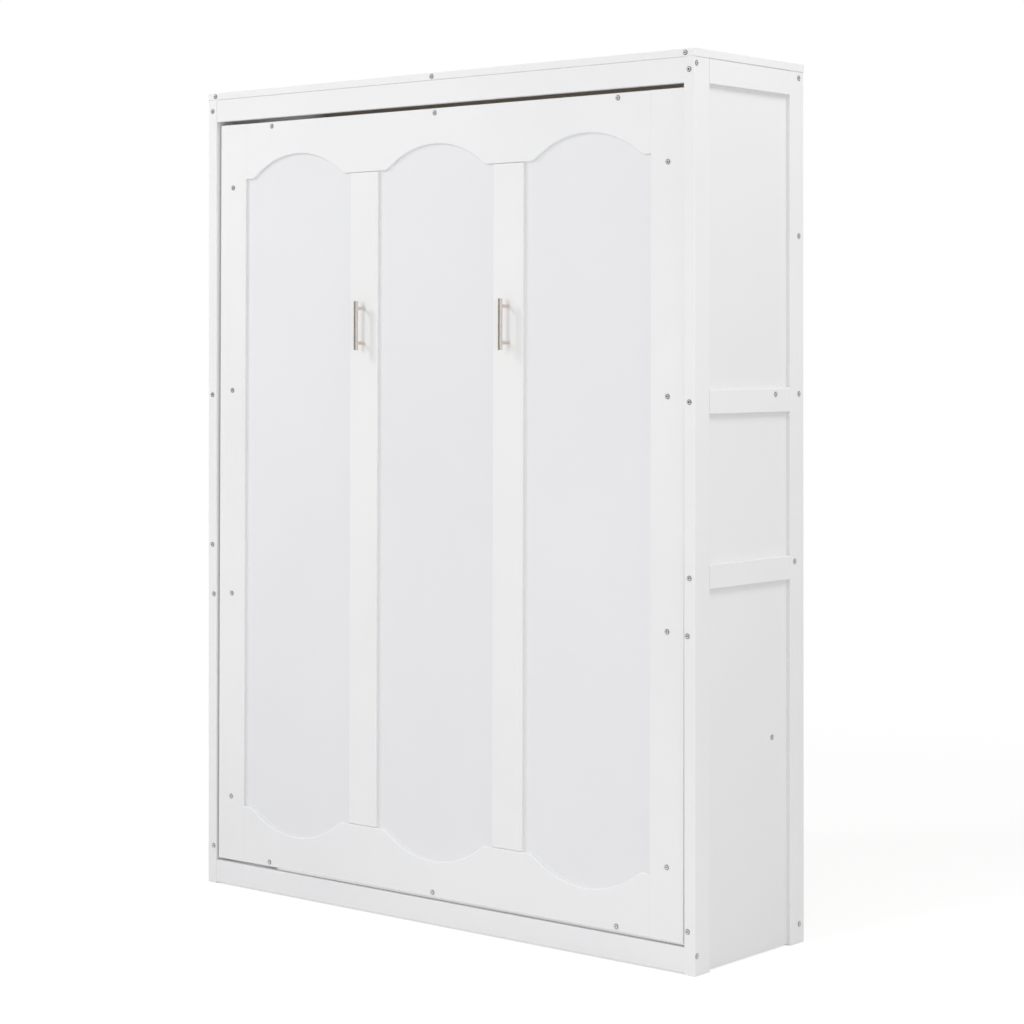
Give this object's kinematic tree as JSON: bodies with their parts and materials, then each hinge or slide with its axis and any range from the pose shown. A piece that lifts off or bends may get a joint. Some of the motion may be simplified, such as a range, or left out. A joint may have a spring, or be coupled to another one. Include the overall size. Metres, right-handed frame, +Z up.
{
  "type": "wall bed",
  "caption": "Upright cabinet with a panelled, arched front that folds down on pivots into a slatted bed, helped by gas struts and held level by swing-out legs.",
  "frame": {"origin": "middle of the footprint at floor level, handles included", "axes": "+Z up, +X to the right seen from the front, +Y from the front towards the wall"},
  "size_m": [1.7428, 0.514, 2.29],
  "materials": {
    "white_paint": "satin white paint",
    "white_panel": "smooth white board",
    "bare_pine": "planed, unpainted",
    "back_board": "thin hardboard",
    "zinc_steel": "zinc plated",
    "brushed_nickel": "brushed nickel",
    "black_steel": "black enamel",
    "chromed_rod": "polished"
  },
  "bodies": {
    "cabinet": {"top_board": "white_paint", "top_front_strip": "white_paint", "header_rail": "white_paint", "plinth_rail": "white_paint", "back_bottom_rail": "white_paint", "back_low_rail": "white_paint", "back_middle_rail": "white_paint", "back_high_rail": "white_paint", "back_top_rail": "white_paint", "back_panels": "back_board", "upper_mattress_rail": "white_paint", "lower_mattress_rail": "white_paint", "door_stops": "white_paint", "cabinet_bolts": "zinc_steel", "bracket_screws": "zinc_steel", "left_front_post": "white_paint", "left_back_post": "white_paint", "left_top_side_rail": "white_paint", "left_mid_side_rails": "white_paint", "left_side_panels": "white_panel", "left_pivot_board": "white_paint", "left_pivot_plate": "zinc_steel", "left_strut_anchor": "zinc_steel", "right_front_post": "white_paint", "right_back_post": "white_paint", "right_top_side_rail": "white_paint", "right_mid_side_rails": "white_paint", "right_side_panels": "white_panel", "right_pivot_board": "white_paint", "right_pivot_plate": "zinc_steel", "right_strut_anchor": "zinc_steel"},
    "bed": {"door_top_rail": "white_paint", "door_bottom_rail": "white_paint", "door_left_panel": "white_panel", "door_centre_panel": "white_panel", "door_right_panel": "white_panel", "bed_head_rail": "white_paint", "bed_foot_rail": "white_paint", "centre_beam": "bare_pine", "slats": "bare_pine", "bed_bolts": "zinc_steel", "leg_bolts": "zinc_steel", "door_left_stile": "white_paint", "door_left_mullion": "white_paint", "bed_left_rail": "white_paint", "left_slat_ledge": "bare_pine", "left_handle": "brushed_nickel", "left_bed_bracket": "zinc_steel", "door_right_stile": "white_paint", "door_right_mullion": "white_paint", "bed_right_rail": "white_paint", "right_slat_ledge": "bare_pine", "right_handle": "brushed_nickel", "right_bed_bracket": "zinc_steel"},
    "left_strut_cylinder": {"left_strut_cylinder": "black_steel"},
    "left_strut_rod": {"left_strut_rod": "chromed_rod"},
    "left_leg": {"left_leg": "black_steel"},
    "right_strut_cylinder": {"right_strut_cylinder": "black_steel"},
    "right_strut_rod": {"right_strut_rod": "chromed_rod"},
    "right_leg": {"right_leg": "black_steel"}
  },
  "joints": [
    {"name": "bed_fold", "type": "hinge", "parent": "cabinet", "child": "bed", "pos_m": [0, -0.149, 0.3], "axis": [1, 0, 0], "range_deg": [0, 90.23], "stiffness_Nm_per_rad": 300, "springref_deg": -9.74},
    {"name": "left_strut_swing", "type": "hinge", "parent": "cabinet", "child": "left_strut_cylinder", "pos_m": [-0.81375, 0.101, 0.73], "axis": [1, 0, 0], "range_deg": [0, 7.03]},
    {"name": "left_strut_stroke", "type": "slide", "parent": "left_strut_cylinder", "child": "left_strut_rod", "axis": [0, -0.3622, -0.9321], "range_m": [-0.20323, 0]},
    {"name": "left_leg_swing", "type": "hinge", "parent": "bed", "child": "left_leg", "pos_m": [-0.7, -0.12139, 2.1949], "axis": [0, -0.004, -1], "range_deg": [0, 90]},
    {"name": "right_strut_swing", "type": "hinge", "parent": "cabinet", "child": "right_strut_cylinder", "pos_m": [0.81375, 0.101, 0.73], "axis": [1, 0, 0], "range_deg": [0, 7.03]},
    {"name": "right_strut_stroke", "type": "slide", "parent": "right_strut_cylinder", "child": "right_strut_rod", "axis": [0, -0.3622, -0.9321], "range_m": [-0.20323, 0]},
    {"name": "right_leg_swing", "type": "hinge", "parent": "bed", "child": "right_leg", "pos_m": [0.7, -0.12139, 2.1949], "axis": [0, 0.004, 1], "range_deg": [0, 90]}
  ],
  "couplings": [
    {"joint": "left_strut_swing", "follows": "bed_fold", "ratio": 0.07789},
    {"joint": "left_strut_stroke", "follows": "bed_fold", "m_per_rad": -0.12904},
    {"joint": "right_strut_swing", "follows": "bed_fold", "ratio": 0.07789},
    {"joint": "right_strut_stroke", "follows": "bed_fold", "m_per_rad": -0.12904}
  ]
}
